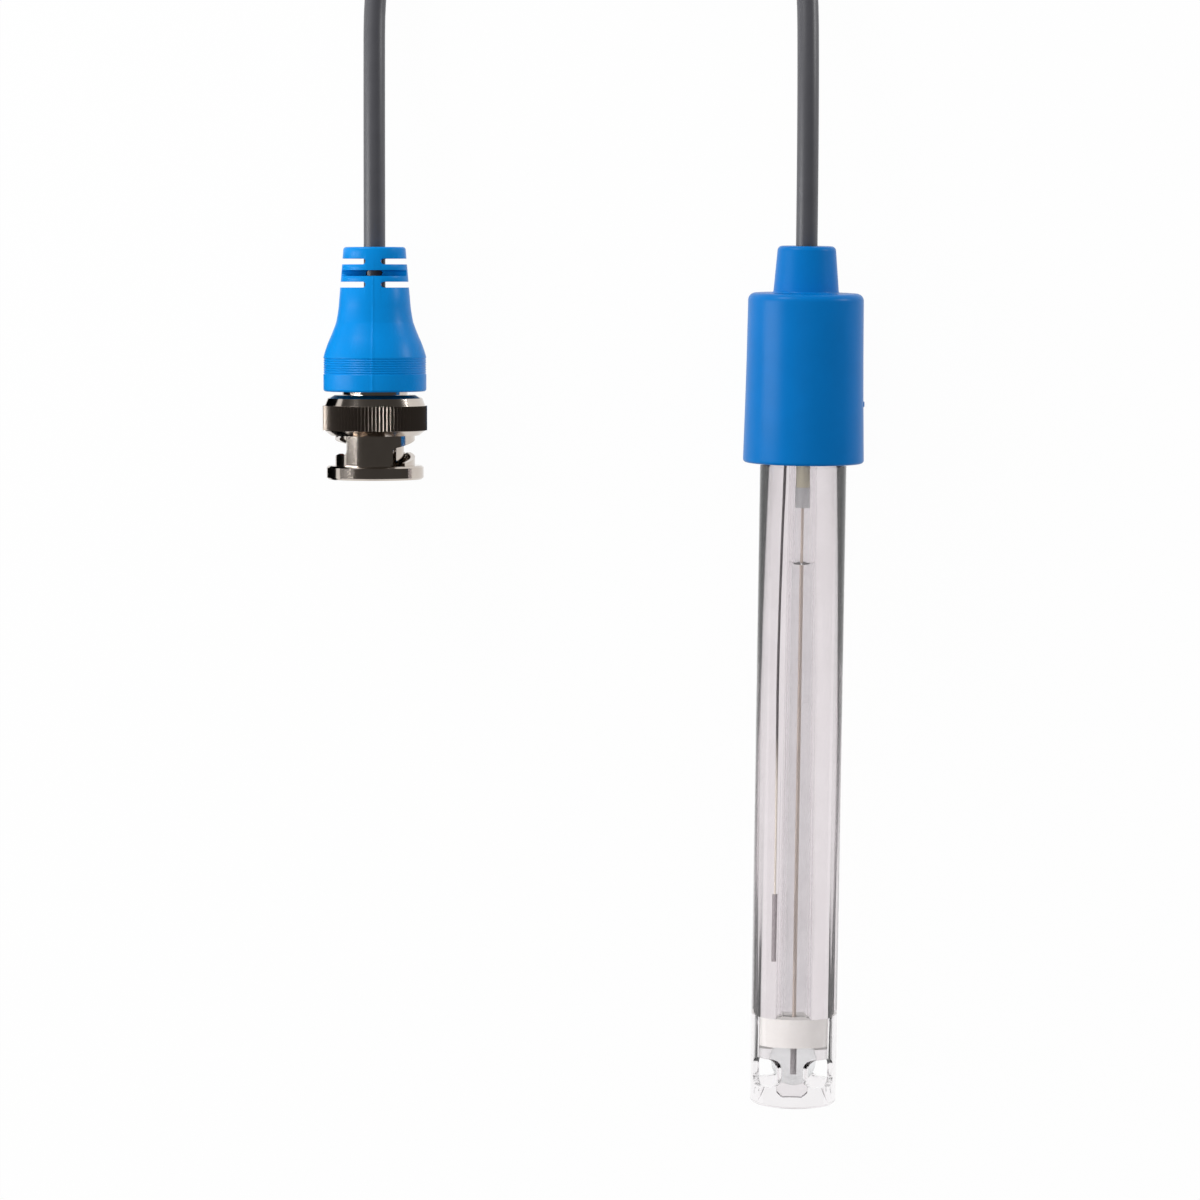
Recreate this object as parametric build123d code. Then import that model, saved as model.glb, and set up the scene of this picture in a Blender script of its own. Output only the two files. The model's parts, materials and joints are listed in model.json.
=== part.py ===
from build123d import *
import math
import os

os.makedirs("parts", exist_ok=True)

# A glass pH electrode in a clear 12 mm tube, with a blue cap, one metre of thin
# coaxial cable and a bayonet plug. All sizes are millimetres.
# The electrode and the plug are each built upright in a frame of their own:
# Z runs from the tip or nose towards the cable, and -Y faces the viewer.
# Both are then laid on the floor, the plane z = 0, with the cable towards +Y.

# Clear tube and the guard cut into its lower end
tube_d = 12.0
tube_wall = 1.0
tube_seen_h = 90.0
tip_edge = 0.45
seat_d = 11.5
seat_seen_h = 0.4
guard_h = 8.5
window_count = 4
window_w = 4.8
window_h = 4.0
window_low = 2.8
window_corner = 1.3
window_turn = -4.0

# Cap with its spout
cap_h = 23.5
cap_roof = 3.5
cap_rim_d = 16.8
cap_mid_d = 16.25
cap_top_d = 16.0
cap_rim_edge = 0.5
cap_top_edge = 0.9
spout_h = 6.5
spout_base_d = 9.1
spout_mouth_d = 8.0
spout_edge = 0.45
spout_foot_edge = 0.3

# Glass stem and bulb
stem_d = 2.8
stem_bore_d = 2.2
bulb_d = 6.3
bulb_wall = 0.45
bulb_low = 2.6
stem_sunk = 9.0

# Junction and the fills
junction_h = 4.0
buffer_air_h = 7.9

# Inner electrode: wire, chloride coat, stopper and sleeve
wire_d = 0.4
coat_d = 0.65
coat_h = 6.0
coat_low = 4.5
coat_end = 0.4
stopper_h = 2.8
sleeve_seen_h = 4.0
sleeve_bore_d = 0.7

# Reference electrode beside the stem
reference_wire_d = 0.35
reference_d = 0.8
reference_h = 9.4
reference_low = 20.6
reference_radius = 2.45
reference_angle = 205.5

# Potting and the joints sealed in it, measured down from the tube's upper end
potting_h = 12.0
jacket_sunk = 3.5
core_bare = 2.2
conductor_bare = 1.0
joint_d = 1.1
joint_h = 1.6
shield_h = 0.8
pigtail_d = 0.8
pigtail_foot = 0.36

# Coaxial cable
cable_d = 3.0
core_d = 1.6
conductor_d = 0.5

# Clearances
slip = 0.05
fit = 0.02
running = 0.05

# Boot of the plug, measured down from its upper end
boot_h = 20.0
boot_top_d = 8.6
boot_waist_d = 10.15
boot_mid_d = 12.1
boot_d = 14.3
boot_waist_drop = 9.2
boot_mid_drop = 11.7
boot_full_drop = 15.6
boot_edge = 0.25
ring_1_h = 1.6
ring_h = 0.8
slot_h = 0.8
slot_rows = 3
web_w = 2.1
ring_edge = 0.12
rib_count = 7
rib_pitch = 0.33
rib_depth = 0.13
rib_drop = 15.5

# Coupling nut, measured from its front face
nut_h = 11.7
nut_flange_d = 13.5
nut_flange_h = 1.9
nut_barrel_d = 11.1
nut_barrel_h = 4.2
nut_bevel_h = 0.7
nut_bevel_d = 12.4
knurl_d = 14.5
knurl_h = 3.4
knurl_depth = 0.24
knurl_teeth = 88
nut_back_d = 11.2
nut_slope_d = 13.2
nut_slope_h = 0.45
nut_bore_d = 9.9
nut_lip_h = 1.4
nut_edge = 0.25
stud_slot_w = 2.4
stud_entry_angle = 38.0
stud_turn = 82.0
stud_entry_z = 3.3
stud_end_z = 4.85
detent_turn = 8.0
detent_dip = 0.25
entry_depth = 0.75

# Plug body, washers and the parts of its centre
washer_h = 0.5
spring_h = 1.4
spring_wall = 0.3
flange_h = 1.0
flange_d = 9.7
journal_d = 7.9
tail_d = 6.4
neck_d = 9.1
neck_h = 2.9
neck_plate = 0.6
contact_d = 8.05
contact_wall = 0.5
contact_front = 1.3
contact_slots = 4
contact_slot_w = 0.6
contact_slot_h = 4.0
gasket_h = 0.8
insulator_h = 2.4
insulator_nose_d = 4.7
insulator_nose_h = 1.2
pin_d = 1.37
pin_tip = 2.0
pin_cup_d = 2.0
pin_cup_h = 2.0
pin_tip_round = 0.55
conductor_in_cup = 1.3
crimp_stem_d = 2.6
crimp_stem_h = 4.6
braid_h = 3.8
ferrule_d = 4.4
ferrule_h = 7.4
boot_gap = 0.5

# Places on the floor
plug_x = -59.5
plug_nose_y = 26.9
plug_turn = 0.72
coil_x = -30.4
coil_y = 132.0
coil_turn_r = 16.3
coil_rows = 3
coil_pitch = 3.05
coil_corner = 0.9
lead_straight = 15.0


def rod(d, low, high):
    """A round bar on the Z axis between two heights."""
    bar = Cylinder(d / 2, high - low, align=(Align.CENTER, Align.CENTER, Align.MIN))
    return Pos(0, 0, low) * bar


def pipe(outer_d, inner_d, low, high):
    """A round wall on the Z axis between two heights."""
    return rod(outer_d, low, high) - rod(inner_d, low, high)


def turned(*edges):
    """A solid turned about Z from a closed outline of edges in the XZ plane."""
    return revolve(make_face(Wire(edges)), Axis.Z, 360)


def path_through(*points):
    """Straight edges through points given as radius and height."""
    places = [(r, 0, z) for r, z in points]
    return [Line(a, b) for a, b in zip(places, places[1:])]


def circles_at(shape, height):
    """The circular edges of a shape at one height, the smallest first."""
    circles = shape.edges().filter_by(GeomType.CIRCLE)
    return circles.filter_by_position(Axis.Z, height - fit, height + fit).sort_by(SortBy.LENGTH)


def thin_bar(d, start, end):
    """A round bar between any two points."""
    way = Vector(*end) - Vector(*start)
    return sweep(Plane(origin=start, z_dir=way) * Circle(d / 2), Line(start, end))


# Electrode heights that follow from the sizes above
bore_d = tube_d - 2 * tube_wall
cap_top = tube_seen_h + cap_h
mouth = cap_top + spout_h
tube_top = cap_top - cap_roof - slip
potting_low = tube_top - potting_h
stem_top = tube_top - stem_sunk
junction_top = guard_h + junction_h
jacket_low = tube_top - jacket_sunk
core_low = jacket_low - core_bare
conductor_low = core_low - conductor_bare
sleeve_low = tube_seen_h - sleeve_seen_h
sleeve_top = stem_top + slip
stopper_low = sleeve_low - stopper_h
buffer_top = stopper_low - buffer_air_h
bulb_z = bulb_low + bulb_d / 2
reference_x = reference_radius * math.cos(math.radians(reference_angle))
reference_y = reference_radius * math.sin(math.radians(reference_angle))
reference_joint_low = conductor_low - joint_h


def body_tube():
    """Clear tube, open at both ends: windows through the guard, a turned seat for the cap."""
    seat_low = tube_seen_h - seat_seen_h
    tube = pipe(tube_d, bore_d, 0, seat_low) + pipe(seat_d, bore_d, seat_low, tube_top)
    tube = chamfer(circles_at(tube, 0)[-1], tip_edge)
    window = extrude(RectangleRounded(window_w, window_h, window_corner), tube_d)
    for i in range(window_count):
        turn = window_turn + (i + 0.5) * 360 / window_count
        tube -= Pos(0, 0, window_low + window_h / 2) * Rot(0, 0, turn) * Rot(90, 0, 0) * window
    return tube


def cap():
    """Blue cap, flared towards its rim, and the spout moulded in one with it."""
    outline = path_through(
        (cap_rim_d / 2, tube_seen_h),
        (cap_mid_d / 2, tube_seen_h + cap_h / 2),
        (cap_top_d / 2, cap_top),
        (spout_base_d / 2, cap_top),
        (spout_mouth_d / 2, mouth),
        (0, mouth),
        (0, tube_seen_h),
        (cap_rim_d / 2, tube_seen_h),
    )
    shell = turned(*outline)
    shell = chamfer(circles_at(shell, cap_top)[-1], cap_top_edge)
    shell = chamfer(circles_at(shell, cap_top)[0], spout_foot_edge)
    shell = chamfer(circles_at(shell, mouth), spout_edge)
    shell = chamfer(circles_at(shell, tube_seen_h), cap_rim_edge)
    shell -= rod(seat_d + 2 * slip, tube_seen_h, tube_top + slip)
    return shell - rod(cable_d + 2 * slip, tube_top, mouth)


def bulb_and_bore(d, ball_d, high):
    """The round bulb with the straight stem above it, filled."""
    return Pos(0, 0, bulb_z) * Sphere(ball_d / 2) + rod(d, bulb_z, high)


def glass_stem():
    """Glass stem with the thin bulb blown on its lower end, open at the top."""
    outside = bulb_and_bore(stem_d, bulb_d, stem_top)
    return outside - bulb_and_bore(stem_bore_d, bulb_d - 2 * bulb_wall, stem_top)


def junction_ring():
    """Porous white ring between the stem and the tube."""
    return pipe(bore_d - 2 * fit, stem_d + 2 * fit, guard_h, junction_top)


def inner_wire():
    """Silver wire on the stem's axis, up to its joint with the cable."""
    return rod(wire_d, coat_low + coat_end, conductor_low)


def chloride_coat():
    """Silver chloride on the end of the inner wire, in the bulb."""
    return rod(coat_d, coat_low, coat_low + coat_h) - inner_wire()


def stem_stopper():
    """Clear silicone plug that holds the wire in the stem."""
    return pipe(stem_bore_d - 2 * fit, wire_d + 2 * fit, stopper_low, sleeve_low)


def stem_sleeve():
    """Cream sleeve on the wire, from the stopper to the top of the stem."""
    return pipe(stem_bore_d - 4 * slip, sleeve_bore_d, sleeve_low, sleeve_top)


def inner_buffer():
    """Buffer solution that fills the bulb and the stem up to its level."""
    fill = bulb_and_bore(stem_bore_d, bulb_d - 2 * bulb_wall, buffer_top)
    return fill - rod(coat_d, coat_low, coat_low + coat_h) - inner_wire()


def at_reference(shape):
    return Pos(reference_x, reference_y, 0) * shape


def reference_wire():
    """Silver wire of the reference, from its element to its joint."""
    return at_reference(rod(reference_wire_d, reference_low + coat_end, reference_joint_low + joint_h / 2))


def reference_element():
    """Chloride-coated end of the reference wire, in the gel."""
    return at_reference(rod(reference_d, reference_low, reference_low + reference_h)) - reference_wire()


def reference_gel():
    """Gel that fills the tube round the stem, from the junction to the potting."""
    gel = pipe(bore_d, stem_d, junction_top, potting_low)
    gel -= at_reference(rod(reference_d, reference_low, reference_low + reference_h))
    return gel - reference_wire()


def cable_core():
    """Bare end of the cable's insulated core."""
    return rod(core_d, core_low, jacket_low)


def cable_conductor():
    """Bare end of the cable's inner conductor."""
    return rod(conductor_d, conductor_low, core_low)


def inner_joint():
    """Solder round the inner wire and the cable's conductor."""
    solder = rod(joint_d, conductor_low - joint_h / 2, conductor_low + joint_h / 2)
    return solder - inner_wire() - cable_conductor()


def shield_tail():
    """Cable shield, gathered under the jacket and drawn aside as a pigtail."""
    collar = pipe(cable_d - 2 * slip, core_d + 2 * fit, jacket_low - shield_h, jacket_low)
    start = (pigtail_foot * reference_x, pigtail_foot * reference_y, jacket_low - shield_h / 2)
    end = (reference_x, reference_y, reference_joint_low + joint_h)
    tail = thin_bar(pigtail_d, start, end) - rod(core_d + 2 * fit, core_low, jacket_low)
    return collar + tail


def reference_joint():
    """Solder between the reference wire and the shield's pigtail."""
    solder = at_reference(rod(joint_d, reference_joint_low, reference_joint_low + joint_h))
    return solder - reference_wire() - shield_tail()


def tube_potting():
    """Epoxy that closes the tube's upper end round the stem, wires and cable."""
    epoxy = rod(bore_d, potting_low, tube_top)
    epoxy -= glass_stem()
    epoxy -= rod(stem_bore_d, potting_low, sleeve_top)
    epoxy -= inner_wire() + inner_joint() + cable_conductor() + cable_core()
    epoxy -= shield_tail() + reference_joint() + reference_wire()
    return epoxy - rod(cable_d, jacket_low, tube_top)


# Plug heights that follow from the sizes above, from the nut's front face
lip_front = nut_h - nut_lip_h
washer_low = lip_front - running - washer_h
spring_low = washer_low - spring_h
flange_low = spring_low - flange_h
neck_low = nut_h + running
boot_low = nut_h + boot_gap
boot_top = boot_low + boot_h
stem_low = neck_low + neck_h
tail_top = stem_low - neck_plate
crimp_top = stem_low + crimp_stem_h
ferrule_low = stem_low + slip
plug_jacket_low = crimp_top + slip
contact_bore_d = contact_d - 2 * contact_wall
insulator_low = flange_low - insulator_h
pin_cup_top = flange_low + slip
pin_cup_low = pin_cup_top - pin_cup_h
core_bore_d = core_d + 4 * slip
core_front = pin_cup_top + slip


def boot_outline():
    """Half outline of the boot: a slotted neck, an S-shaped shoulder and a straight skirt."""
    waist = (boot_waist_d / 2, 0, boot_top - boot_waist_drop)
    middle = (boot_mid_d / 2, 0, boot_top - boot_mid_drop)
    full = (boot_d / 2, 0, boot_top - boot_full_drop)
    down = (0, 0, -1)
    outline = path_through(
        (0, boot_low),
        (0, boot_top),
        (boot_top_d / 2, boot_top),
        (boot_waist_d / 2, boot_top - boot_waist_drop),
    )
    outline += [Spline(waist, middle, full, tangents=(down, down))]
    return outline + path_through(
        (boot_d / 2, boot_top - boot_full_drop),
        (boot_d / 2, boot_low),
        (0, boot_low),
    )


def plug_boot():
    """Blue strain relief: side slots and front slots by turns, fine ribs round its skirt."""
    boot = turned(*boot_outline())
    boot = chamfer(circles_at(boot, boot_low) + circles_at(boot, boot_top), boot_edge)
    slot_top = boot_top - ring_1_h
    for i in range(slot_rows):
        slab = Box(boot_d, boot_d, slot_h, align=(Align.MIN, Align.CENTER, Align.MAX))
        for side in (0, 180):
            turn = side + 90 * (i % 2)
            boot -= Pos(0, 0, slot_top) * Rot(0, 0, turn) * Pos(web_w / 2, 0, 0) * slab
        edges = circles_at(boot, slot_top) + circles_at(boot, slot_top - slot_h)
        boot = chamfer(edges.filter_by(lambda edge: edge.radius > cable_d), ring_edge)
        slot_top -= slot_h + ring_h
    for i in range(rib_count):
        z = boot_top - rib_drop - i * rib_pitch
        groove = path_through(
            (boot_d / 2, z + rib_pitch / 2),
            (boot_d / 2 - rib_depth, z),
            (boot_d / 2, z - rib_pitch / 2),
            (boot_d / 2 + slip, z),
            (boot_d / 2, z + rib_pitch / 2),
        )
        boot -= turned(*groove)
    boot -= rod(neck_d + 2 * slip, boot_low, stem_low + slip)
    boot -= rod(ferrule_d + 2 * slip, stem_low, ferrule_low + ferrule_h + slip)
    return boot - rod(cable_d + 2 * slip, boot_low, boot_top)


def knurled_band(low, high):
    """Straight knurl: triangular teeth round the band."""
    points = []
    for i in range(2 * knurl_teeth):
        r = knurl_d / 2 - knurl_depth * (i % 2)
        a = math.pi * i / knurl_teeth
        points.append((r * math.cos(a), r * math.sin(a)))
    outline = make_face(Polyline(*points, close=True))
    return Pos(0, 0, low) * extrude(outline, high - low)


def stud_slots():
    """What the socket's two studs need: the ways in, the ramps and the detents."""
    rise = stud_end_z - stud_entry_z
    ramp_path = Helix(rise * 360 / stud_turn, rise, nut_barrel_d / 2)
    profile = Plane(origin=ramp_path @ 0, x_dir=(1, 0, 0), z_dir=ramp_path % 0)
    ramp = sweep(profile * Rectangle(4 * entry_depth, stud_slot_w), ramp_path, is_frenet=True)
    way_in = Box(
        nut_bore_d / 2 + entry_depth,
        stud_slot_w,
        stud_entry_z,
        align=(Align.MIN, Align.CENTER, Align.MIN),
    )
    hole = Rot(0, 90, 0) * Cylinder(
        stud_slot_w / 2, nut_barrel_d, align=(Align.CENTER, Align.CENTER, Align.MIN)
    )
    cutters = [
        way_in,
        Pos(0, 0, stud_entry_z) * hole,
        Pos(0, 0, stud_entry_z) * ramp,
        Rot(0, 0, stud_turn) * Pos(0, 0, stud_end_z) * hole,
        Rot(0, 0, stud_turn + detent_turn) * Pos(0, 0, stud_end_z - detent_dip) * hole,
    ]
    return [Rot(0, 0, stud_entry_angle - 90 + side) * cutter for side in (0, 180) for cutter in cutters]


def coupling_nut():
    """Bayonet nut: a front flange, a slotted barrel, a knurled band and a turned-in lip."""
    barrel_top = nut_flange_h + nut_barrel_h
    knurl_low = barrel_top + nut_bevel_h
    knurl_high = knurl_low + knurl_h
    root_d = knurl_d - 2 * knurl_depth
    outline = path_through(
        (0, 0),
        (nut_flange_d / 2 - nut_edge, 0),
        (nut_flange_d / 2, nut_edge),
        (nut_flange_d / 2, nut_flange_h - nut_edge),
        (nut_flange_d / 2 - nut_edge, nut_flange_h),
        (nut_barrel_d / 2, nut_flange_h),
        (nut_barrel_d / 2, barrel_top),
        (nut_bevel_d / 2, barrel_top),
        (root_d / 2, knurl_low),
        (root_d / 2, knurl_high),
        (nut_slope_d / 2, nut_h - nut_slope_h),
        (nut_back_d / 2, nut_h),
        (0, nut_h),
        (0, 0),
    )
    nut = turned(*outline) + knurled_band(knurl_low, knurl_high)
    nut -= rod(nut_bore_d, 0, lip_front)
    nut -= rod(journal_d + 2 * running, lip_front, nut_h)
    for cutter in stud_slots():
        nut -= cutter
    return nut


def plug_body():
    """Turned body: slotted outer contact, flange, journal for the nut and tail."""
    body = rod(contact_d, contact_front, flange_low) + rod(flange_d, flange_low, spring_low)
    body += rod(journal_d, spring_low, neck_low) + rod(tail_d, neck_low, tail_top)
    body -= rod(contact_bore_d, contact_front, flange_low)
    body -= rod(pin_cup_d + 4 * slip, flange_low, core_front)
    body -= rod(core_bore_d, core_front, tail_top)
    for i in range(contact_slots):
        slit = Box(contact_d, contact_slot_w, contact_slot_h, align=(Align.MIN, Align.CENTER, Align.MIN))
        body -= Rot(0, 0, (i + 0.5) * 360 / contact_slots) * Pos(0, 0, contact_front) * slit
    return body


def crimp_neck():
    """Neck pressed on the body's tail, with the crimp stem behind it."""
    neck = rod(neck_d, neck_low, stem_low) + rod(crimp_stem_d, stem_low, crimp_top)
    return neck - rod(tail_d, neck_low, tail_top) - rod(core_bore_d, tail_top, crimp_top)


def ring_on_plug(outer_d, inner_d, low, h):
    return pipe(outer_d, inner_d, low, low + h)


def thrust_washer():
    """Flat washer that bears on the nut's lip."""
    return ring_on_plug(nut_bore_d - 4 * slip, journal_d + 4 * slip, washer_low, washer_h)


def spring_washer():
    """Bowed spring washer between the body's flange and the flat washer."""
    half = nut_bore_d / 2 - 2 * slip
    low = spring_low + slip
    high = washer_low - slip
    lower = ThreePointArc((-half, 0, low), (0, 0, high - spring_wall), (half, 0, low))
    upper = ThreePointArc((-half, 0, low + spring_wall), (0, 0, high), (half, 0, low + spring_wall))
    ends = [Line(lower @ i, upper @ i) for i in (0, 1)]
    sheet = extrude(make_face(Wire([lower, upper] + ends)), half, both=True)
    return sheet & pipe(2 * half, journal_d + 4 * slip, spring_low, washer_low)


def plug_gasket():
    """Silicone ring in front of the flange, which seals on the socket."""
    return ring_on_plug(nut_bore_d - 4 * slip, contact_d + 2 * fit, flange_low - gasket_h, gasket_h)


def insulator():
    """White insulator with a short nose round the pin."""
    disc = rod(contact_bore_d - 2 * fit, insulator_low, flange_low)
    disc += rod(insulator_nose_d, insulator_low - insulator_nose_h, insulator_low)
    disc -= rod(pin_d + 2 * fit, insulator_low - insulator_nose_h, pin_cup_low)
    return disc - rod(pin_cup_d + 2 * fit, pin_cup_low, flange_low)


def centre_pin():
    """Gold pin with a rounded tip and a solder cup at the back."""
    pin = rod(pin_d, pin_tip, pin_cup_low)
    pin = fillet(circles_at(pin, pin_tip), pin_tip_round)
    pin += rod(pin_cup_d, pin_cup_low, pin_cup_top)
    return pin - rod(conductor_d + 2 * fit, pin_cup_top - conductor_in_cup, pin_cup_top)


def plug_core():
    """Insulated core of the cable inside the plug, with its conductor in the pin's cup."""
    core = rod(core_d, core_front, plug_jacket_low)
    return core + rod(conductor_d, pin_cup_top - conductor_in_cup + slip, core_front)


def plug_braid():
    """Cable shield, spread over the crimp stem."""
    return pipe(cable_d + 2 * fit, crimp_stem_d + 2 * fit, crimp_top - braid_h, crimp_top)


def crimp_ferrule():
    """Sleeve crimped over the shield and the end of the jacket."""
    return pipe(ferrule_d, cable_d + 2 * slip, ferrule_low, ferrule_low + ferrule_h)


# How the electrode lies: on the edge of its tip and on the cap's rim
rest_tilt = math.degrees(math.atan((cap_rim_d - tube_d) / 2 / (tube_seen_h + cap_rim_edge - tip_edge)))
tilt_sin = math.sin(math.radians(rest_tilt))
tilt_cos = math.cos(math.radians(rest_tilt))
rest_lift = tube_d / 2 * tilt_cos - tip_edge * tilt_sin
tip_y = -mouth * tilt_cos / 2


def lay_electrode(shape):
    return Pos(0, tip_y, rest_lift) * Rot(rest_tilt - 90, 0, 0) * shape


def electrode_axis(height):
    """The floor-frame point of the electrode's axis at a height above its tip."""
    return (0, tip_y + height * tilt_cos, rest_lift + height * tilt_sin)


def lay_plug(shape):
    return Pos(plug_x, plug_nose_y, knurl_d / 2) * Rot(0, 0, plug_turn) * Rot(-90, 0, 0) * shape


def plug_axis(height):
    """The floor-frame point of the plug's axis at a height behind its nose."""
    turn = math.radians(plug_turn)
    return (
        plug_x - height * math.sin(turn),
        plug_nose_y + height * math.cos(turn),
        knurl_d / 2,
    )


floor_z = cable_d / 2
coil_outer_turn = coil_turn_r + coil_pitch
coil_top_z = floor_z + (coil_rows - 1) * coil_pitch

# Route of the lead at the electrode: straight out, down to the floor, then into the coil
electrode_route = [
    electrode_axis(jacket_low),
    electrode_axis(mouth + lead_straight),
    (-0.3, 106.5, floor_z),
    (coil_x + coil_outer_turn, 122.5, floor_z),
    (coil_x + coil_outer_turn, 133.5, floor_z),
]

# Route of the lead at the plug: straight out, down to the floor, then up onto the coil
plug_route = [
    plug_axis(plug_jacket_low),
    plug_axis(boot_top + lead_straight),
    (-60.6, 103.5, floor_z),
    (coil_x - coil_outer_turn, 121.0, 7.0),
    (coil_x - coil_outer_turn, 133.5, coil_top_z),
]


def route_radii(points):
    """Arc radius at each corner: as large as its two runs allow."""
    radii = []
    for before, corner, after in zip(points, points[1:], points[2:]):
        way_in = Vector(*corner) - Vector(*before)
        way_out = Vector(*after) - Vector(*corner)
        half_turn = math.radians(way_in.get_angle(way_out)) / 2
        radii.append(0.45 * min(way_in.length, way_out.length) / math.tan(half_turn))
    return radii


def cable_along(points):
    """Round cable along straight runs joined by tangent arcs."""
    radii = route_radii(points)
    path = FilletPolyline(*points, radius=radii)
    lead = sweep(Plane(origin=path @ 0, z_dir=path % 0) * Circle(cable_d / 2), path)
    section = math.pi * cable_d**2 / 4
    print("lead", round(path.length, 1), "radii", [round(r, 1) for r in radii])
    print("volume over section times length", round(lead.volume / section / path.length, 4))
    return lead


def cable_coil():
    """Outer shape of the coiled cable, a ring with its corners cut off."""
    side = (coil_rows - 1) * coil_pitch + cable_d
    square = Rectangle(side, side)
    section = Plane.XZ * Pos(coil_turn_r, side / 2) * chamfer(square.vertices(), coil_corner)
    return Pos(coil_x, coil_y, 0) * revolve(section, Axis.Z, 360)


electrode_pieces = {
    "body_tube": body_tube(),
    "cap": cap(),
    "glass_stem": glass_stem(),
    "junction_ring": junction_ring(),
    "inner_wire": inner_wire(),
    "chloride_coat": chloride_coat(),
    "stem_stopper": stem_stopper(),
    "stem_sleeve": stem_sleeve(),
    "inner_buffer": inner_buffer(),
    "reference_wire": reference_wire(),
    "reference_element": reference_element(),
    "reference_gel": reference_gel(),
    "cable_core": cable_core(),
    "cable_conductor": cable_conductor(),
    "inner_joint": inner_joint(),
    "shield_tail": shield_tail(),
    "reference_joint": reference_joint(),
    "tube_potting": tube_potting(),
}

plug_pieces = {
    "plug_boot": plug_boot(),
    "coupling_nut": coupling_nut(),
    "plug_body": plug_body(),
    "crimp_neck": crimp_neck(),
    "thrust_washer": thrust_washer(),
    "spring_washer": spring_washer(),
    "plug_gasket": plug_gasket(),
    "insulator": insulator(),
    "centre_pin": centre_pin(),
    "plug_core": plug_core(),
    "plug_braid": plug_braid(),
    "crimp_ferrule": crimp_ferrule(),
}

cable_pieces = {
    "cable_lead_electrode": cable_along(electrode_route),
    "cable_lead_plug": cable_along(plug_route),
    "cable_coil": cable_coil(),
}

pieces = {name: lay_electrode(solid) for name, solid in electrode_pieces.items()}
pieces |= {name: lay_plug(solid) for name, solid in plug_pieces.items()}
pieces |= cable_pieces

for name, solid in pieces.items():
    export_step(solid, f"parts/{name}.step")
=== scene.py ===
import json
import math

import bmesh
import bpy
from mathutils import Matrix, Vector

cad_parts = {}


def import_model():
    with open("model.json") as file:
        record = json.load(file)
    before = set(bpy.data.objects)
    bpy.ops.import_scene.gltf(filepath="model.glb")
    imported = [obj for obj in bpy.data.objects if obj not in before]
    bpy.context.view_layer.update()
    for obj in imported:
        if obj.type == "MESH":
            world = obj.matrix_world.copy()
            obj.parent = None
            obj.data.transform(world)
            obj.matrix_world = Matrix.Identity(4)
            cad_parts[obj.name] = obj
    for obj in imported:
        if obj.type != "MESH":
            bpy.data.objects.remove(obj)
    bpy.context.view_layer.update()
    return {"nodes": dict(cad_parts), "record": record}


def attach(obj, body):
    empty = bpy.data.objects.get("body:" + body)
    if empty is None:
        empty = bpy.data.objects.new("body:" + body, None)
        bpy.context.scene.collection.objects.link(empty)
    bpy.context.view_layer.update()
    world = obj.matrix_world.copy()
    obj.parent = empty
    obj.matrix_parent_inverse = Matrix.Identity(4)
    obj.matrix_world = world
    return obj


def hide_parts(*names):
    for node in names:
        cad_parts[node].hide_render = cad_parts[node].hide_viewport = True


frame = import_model()
nodes = frame["nodes"]

MM = 0.001

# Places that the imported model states: each mount's point and axis, which points out of the nose or tip
mounts = {mount["name"]: mount for mount in frame["record"]["mounts"]}
tube_grip = mounts["tube_grip"]
socket = mounts["bayonet_socket"]
tip_edge = 0.45
tube_wall_h = tube_grip["dims"]["length_mm"]
tip_to_grip = tip_edge + tube_wall_h / 2

# Sizes of the electrode, in millimetres: diameters, and heights along its axis from the tip
tube_d = 12.0
bore_d = 10.0
seat_d = 11.5
seat_low_h = 89.6
tube_top_h = 109.95
window_w = 4.8
window_h = 4.0
window_low_h = 2.8
window_corner = 1.3
window_turn = -4.0
stem_d = 2.8
stem_bore_d = 2.2
stem_top_h = 100.95
bulb_d = 6.3
bulb_wall = 0.45
bulb_low_h = 2.6
junction_top_h = 12.5
potting_low_h = 97.95
buffer_top_h = 75.3
rim_h = 90.0
rim_d = 16.8
cap_middle_h = 101.75
cap_middle_d = 16.25
cap_top_h = 113.5
cap_top_d = 16.0
spout_foot_d = 9.1
mouth_h = 120.0
mouth_d = 8.0
overlap = 0.03
touching = 0.0005

# Roundings and small features of the electrode, in millimetres
bore_round = 0.2
window_soften = 0.12
full_round = 0.98
meniscus_rim_h = 0.35
meniscus_slope_h = 0.08
rim_inner_round = 0.3
rim_round = 0.45
cap_middle_round = 3.0
cap_edge_round = 1.0
spout_foot_round = 0.35
mouth_round = 0.6
mouth_inner_round = 0.2
gate_point = (8.03, 0, 98.2)
gate_foot_r = 0.6
gate_end_r = 0.35
gate_length = 0.6

# The reference wire's places: height, then how far left and how far forward of the axis
reference_wire_d = 0.35
reference_points = [(21.0, 2.21, 1.06), (46.0, 2.3, 1.06), (68.0, 2.5, 1.06), (101.0, 1.75, 1.06)]
# Where the painted dark reflection on the reference wire gives way to bright silver, and how far it
# fades, in millimetres from the tip
painted_dark_h = 48.3
painted_dark_fade = 4.0

# Sizes of the boot, in millimetres: heights from the plug's nose
boot_low_h = 12.2
boot_top_h = 32.2
boot_d = 14.3
boot_waist_d = 10.15
boot_top_d = 8.6
boot_waist_drop = 9.2
boot_full_drop = 15.6
boot_ring_h = 1.6
slot_h = 0.8
slot_pitch = 1.6
web_w = 2.1
neck_d = 9.1
neck_top_h = 14.7
ferrule_d = 4.4
ferrule_top_h = 22.2
rib_count = 7
rib_pitch = 0.33
rib_depth = 0.13
rib_drop = 15.5
parting_h = 0.08
parting_reach = 0.01
shoulder_step = 1.5
shoulder_out = 0.35
shoulder_in = 0.25
boot_edge_round = 0.35
waist_round = 1.2
shoulder_round = 1.3
boot_full_round = 1.6
slot_end_round = 0.49 * slot_h
slot_soften = 0.1
slot_soften_angle = 50.0

# The nut's rolled knurl: the middle of its height from the plug's nose, and its width
knurl_h = 8.5
knurl_w = 3.4
turned_roughness = 0.12
knurl_roughness = 0.3

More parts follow.
